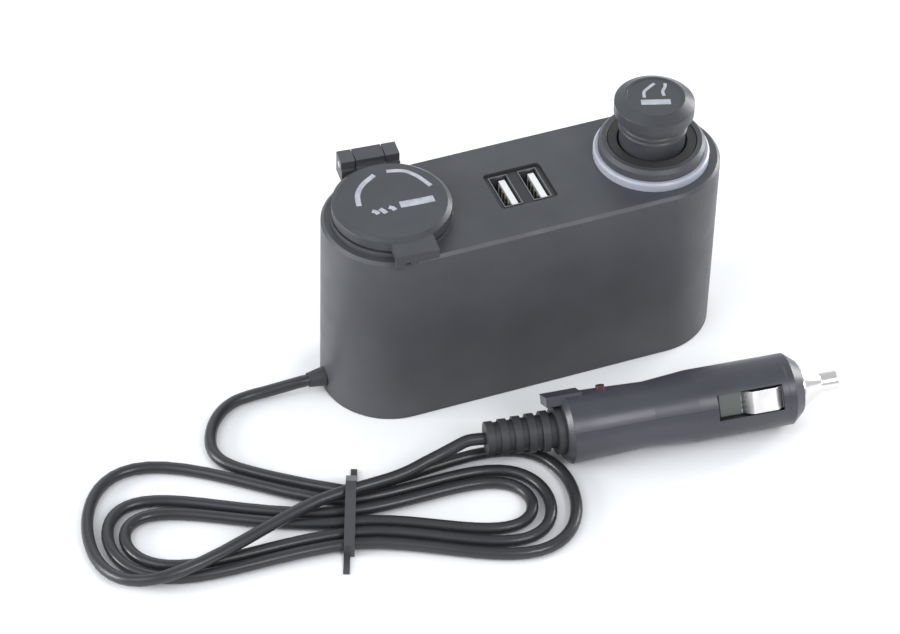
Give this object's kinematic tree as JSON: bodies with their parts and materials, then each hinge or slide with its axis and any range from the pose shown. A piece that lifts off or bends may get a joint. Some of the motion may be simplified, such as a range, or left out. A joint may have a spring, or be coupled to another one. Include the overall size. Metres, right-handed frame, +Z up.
{
  "type": "car power socket",
  "caption": "Dash-top 12 V power box with a capped outlet, USB ports, a pull-out lighter and a tied plug cord.",
  "frame": {"origin": "centre of the housing's footprint, on the surface that it stands on", "axes": "X runs along the housing from the capped outlet to the lighter, Y to the back where the cap's hinge is, Z up"},
  "size_m": [0.2214, 0.1091, 0.0815],
  "materials": {
    "black_plastic": "fine grained dark grey moulding",
    "cap_plastic": "fine grained moulding with pale printed marks",
    "knob_plastic": "satin moulding with a pale printed symbol",
    "plug_plastic": "satin moulding",
    "inner_plastic": "plain black moulding",
    "pale_ring": "pale translucent moulding",
    "tongue_white": "white moulding",
    "soft_black": "soft flexible moulding",
    "cord_black": "smooth round jacket",
    "tie_black": "thin plastic coated tie",
    "insulator_brown": "moulded resin",
    "barrel_metal": "drawn and plated",
    "dark_metal": "dull darkened plating",
    "collar_brown": "moulded resin, dark reddish brown",
    "screw_steel": "plain zinc plating",
    "shell_metal": "thin tinned sheet",
    "tip_metal": "bright nickel plating",
    "contact_brass": "plain brass",
    "coil_metal": "heat darkened resistance wire",
    "can_metal": "drawn can",
    "board_green": "solder mask",
    "wire_red": "wire insulation",
    "fuse_glass": "clear tube",
    "lamp_red": "tinted lens"
  },
  "bodies": {
    "housing": {"housing_shell": "black_plastic", "bottom_cover": "black_plastic", "cover_screws": "screw_steel", "cord_grommet": "soft_black", "outlet_bezel": "black_plastic", "outlet_barrel": "barrel_metal", "outlet_insulator": "insulator_brown", "outlet_centre_contact": "contact_brass", "outlet_clamp_ring": "inner_plastic", "cap_hinge_pin": "screw_steel", "light_ring": "pale_ring", "lighter_bezel": "black_plastic", "lighter_barrel": "barrel_metal", "lighter_insulator": "insulator_brown", "lighter_centre_contact": "contact_brass", "lighter_clips": "contact_brass", "lighter_clamp_ring": "inner_plastic", "usb_faceplate": "inner_plastic", "usb_shells": "shell_metal", "usb_tongues": "tongue_white", "usb_contacts": "contact_brass", "circuit_board": "board_green", "board_screws": "screw_steel", "board_inductor": "inner_plastic", "board_capacitors": "can_metal", "board_chips": "inner_plastic", "cord_tail": "cord_black", "supply_wires": "wire_red", "outlet_wires": "wire_red", "lighter_wires": "wire_red", "cord_lead": "cord_black", "cord_hank": "cord_black", "hank_tie": "tie_black", "cord_plug_lead": "cord_black", "plug_strain_relief": "soft_black", "plug_upper_half": "plug_plastic", "plug_lower_half": "plug_plastic", "plug_screw": "screw_steel", "plug_nose_ring": "plug_plastic", "plug_lamp": "lamp_red", "plug_leads": "wire_red"},
    "cap": {"socket_cap": "cap_plastic", "cap_seal": "soft_black"},
    "lighter": {"lighter_sleeve": "dark_metal", "lighter_collar": "collar_brown"},
    "knob": {"lighter_knob": "knob_plastic", "lighter_stem": "screw_steel", "lighter_coil_cup": "screw_steel", "lighter_coil": "coil_metal", "lighter_spring": "screw_steel"},
    "plug_pin": {"plug_tip": "tip_metal", "plug_fuse": "fuse_glass", "plug_tip_spring": "screw_steel"},
    "contact_front": {"plug_contact_front": "tip_metal"},
    "contact_back": {"plug_contact_back": "tip_metal"}
  },
  "joints": [
    {"name": "cap_hinge", "type": "hinge", "parent": "housing", "child": "cap", "pos_m": [-0.03793, 0.02082, 0.0642], "axis": [-0.9962, 0.0872, 0], "range_deg": [0, 160]},
    {"name": "lighter_pull", "type": "slide", "parent": "housing", "child": "lighter", "axis": [0, 0, 1], "range_m": [0, 0.045]},
    {"name": "knob_press", "type": "slide", "parent": "lighter", "child": "knob", "axis": [0, 0, -1], "range_m": [0, 0.0055], "stiffness_N_per_m": 600, "springref_m": -0.002, "deforming": ["lighter_spring"]},
    {"name": "plug_pin_press", "type": "slide", "parent": "housing", "child": "plug_pin", "axis": [-0.9947, 0.1028, 0], "range_m": [0, 0.002], "stiffness_N_per_m": 900, "springref_m": -0.002},
    {"name": "contact_front_press", "type": "slide", "parent": "housing", "child": "contact_front", "axis": [0.0862, 0.8342, -0.5446], "range_m": [0, 0.0014], "stiffness_N_per_m": 800, "springref_m": -0.001},
    {"name": "contact_back_press", "type": "slide", "parent": "housing", "child": "contact_back", "axis": [-0.0862, -0.8342, 0.5446], "range_m": [0, 0.0014], "stiffness_N_per_m": 800, "springref_m": -0.001}
  ]
}
